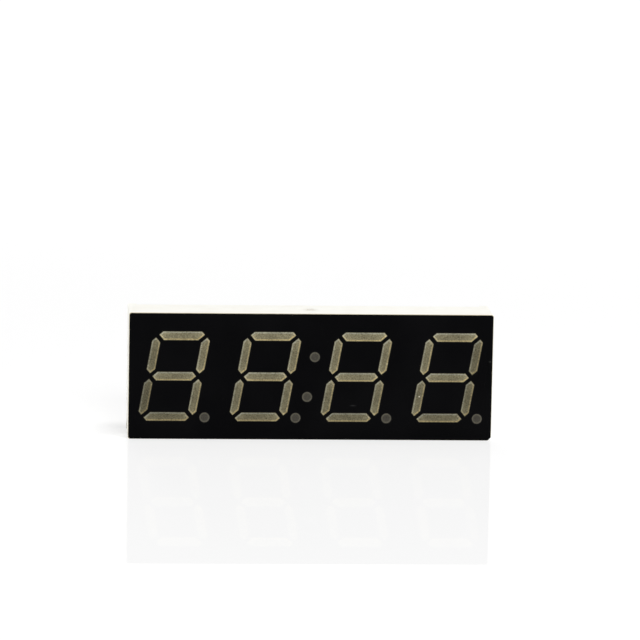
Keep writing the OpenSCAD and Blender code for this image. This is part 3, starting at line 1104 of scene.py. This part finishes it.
# The key lamp's direction, and each fill lamp's name, direction and share of the fill power
KEY = (0.1, -0.14, 0.6)
FILLS = (
    ("left_fill", (-0.9, 0.1, 0.14), 1.0),
    ("right_fill", (0.9, 0.1, 0.2), 0.5),
    ("rear_fill", (-0.1, 0.9, 0.14), 1.0),
    ("front_fill", (0.1, -0.85, 0.5), 1.23),
)
# The camera's sensor in millimetres, and the nearest and farthest that it sees
SENSOR, NEAREST, FARTHEST = 36, 0.01, 20


class DISPLAY_OT_stage(bpy.types.Operator):
    """Lays the floor and sets the lamps, the world and the camera"""

    bl_idname = "display_module.stage"
    bl_label = "Stage"

    def execute(self, context):
        stage, colours = context.scene.display_stage, context.scene.display_colours
        deselect()
        bpy.ops.mesh.primitive_plane_add(size=FLOOR_SIDE, location=(0, 0, 0))
        floor = context.object
        floor.name = "floor"
        floor.data.materials.append(floor_finish(colours, stage))
        light_world(context.scene, stage)
        add_lamp("key_lamp", KEY, stage, stage.key_power)
        for name, direction, part in FILLS:
            add_lamp(name, direction, stage, stage.fill_power * part)
        add_camera(context.scene, stage)
        context.scene.view_settings.view_transform = "Standard"
        return {"FINISHED"}


def floor_finish(colours, stage):
    """White floor that shows as white to the camera, and keeps shadows and a faint reflection."""
    material, tree, shader, where = start_finish("floor_white", colours.floor, Roughness=0.9)
    path = tree.nodes.new("ShaderNodeLightPath")
    glow = join(tree, "Emission", {0: (1, 1, 1, 1), 1: FLOOR_WHITE})
    gloss = join(tree, "BsdfGlossy", {"Color": (1, 1, 1, 1), "Roughness": 0.002})
    far = distance(tree, where)
    far = spread(tree, far, stage.floor_near, stage.floor_far, stage.floor_glow, 1)
    seen = calculate(tree, "MULTIPLY", path.outputs["Is Camera Ray"], far)
    lit = join(tree, "MixShader", {0: seen, 1: shader.outputs[0], 2: glow})
    polished = join(tree, "MixShader", {0: stage.floor_gloss, 1: lit, 2: gloss})
    tree.links.new(polished, tree.nodes["Material Output"].inputs[0])
    return material


def light_world(scene, stage):
    """Even light from all round, that shows as white to the camera and in reflections."""
    world = bpy.data.worlds.new("pale_studio")
    scene.world = world
    world.use_nodes = True
    tree = world.node_tree
    background = tree.nodes["Background"]
    path = tree.nodes.new("ShaderNodeLightPath")
    seen = calculate(tree, "MAXIMUM", path.outputs["Is Camera Ray"], path.outputs["Is Glossy Ray"])
    seen = calculate(tree, "MAXIMUM", seen, path.outputs["Is Transmission Ray"])
    strength = spread(tree, seen, 0, 1, stage.world_light, 1, False)
    background.inputs["Color"].default_value = (1, 1, 1, 1)
    tree.links.new(strength, background.inputs["Strength"])


def add_lamp(name, direction, stage, watts):
    """A square softbox in this direction from the module, facing it."""
    data = bpy.data.lights.new(name, "AREA")
    data.size, data.energy = stage.lamp_width, watts
    lamp = new_piece(name, data)
    outward = Vector(direction).normalized()
    lamp.location = MIDDLE + stage.lamp_reach * outward
    lamp.rotation_euler = (-outward).to_track_quat("-Z", "Y").to_euler()
    lamp.visible_camera = lamp.visible_glossy = False


def add_camera(scene, stage):
    """The camera in front of the face, turned, dipped and rolled about its own axes."""
    data = bpy.data.cameras.new("view_camera")
    data.lens, data.sensor_width = stage.lens, SENSOR
    data.clip_start, data.clip_end = NEAREST, FARTHEST
    scene.camera = new_piece("view_camera", data)
    x, y = MIDDLE.x - stage.camera_left, FACE_Y - stage.camera_front
    scene.camera.location = x, y, stage.camera_height
    turn = Matrix.Rotation(-stage.camera_turn, 4, "Z")
    dip = Matrix.Rotation(math.pi / 2 - stage.camera_dip, 4, "X")
    roll = Matrix.Rotation(stage.camera_roll, 4, "Z")
    scene.camera.rotation_euler = (turn @ dip @ roll).to_euler()


class DISPLAY_PT_module(bpy.types.Panel):
    """Sizes, colours and building steps of the display module"""

    bl_idname = "DISPLAY_PT_module"
    bl_label = "Display Module"
    bl_space_type = "VIEW_3D"
    bl_region_type = "UI"
    bl_category = "Display Module"

    def draw(self, context):
        for key in GROUPS:
            group, box = getattr(context.scene, key), self.layout.box()
            for name in group.__annotations__:
                box.prop(group, name)
        for step in STEPS:
            self.layout.operator(step.bl_idname)


STEPS = (
    DISPLAY_OT_housing,
    DISPLAY_OT_printed_face,
    DISPLAY_OT_bar_windows,
    DISPLAY_OT_dot_windows,
    DISPLAY_OT_board_tracks,
    DISPLAY_OT_rear_seal,
    DISPLAY_OT_electronics,
    DISPLAY_OT_stage,
)
GROUPS = {
    "display_sizes": DisplaySizes,
    "display_colours": DisplayColours,
    "display_stage": DisplayStage,
}


def register():
    """Registers the properties, the steps and the panel."""
    for item in (*GROUPS.values(), *STEPS, DISPLAY_PT_module):
        bpy.utils.register_class(item)
    for name, group in GROUPS.items():
        setattr(bpy.types.Scene, name, PointerProperty(type=group))


def unregister():
    """Takes away what register added."""
    for name in GROUPS:
        delattr(bpy.types.Scene, name)
    for item in reversed((*GROUPS.values(), *STEPS, DISPLAY_PT_module)):
        bpy.utils.unregister_class(item)


def main():
    """Runs every step in order."""
    register()
    for step in STEPS:
        prefix, name = step.bl_idname.split(".")
        getattr(getattr(bpy.ops, prefix), name)()


if __name__ == "__main__":
    main()
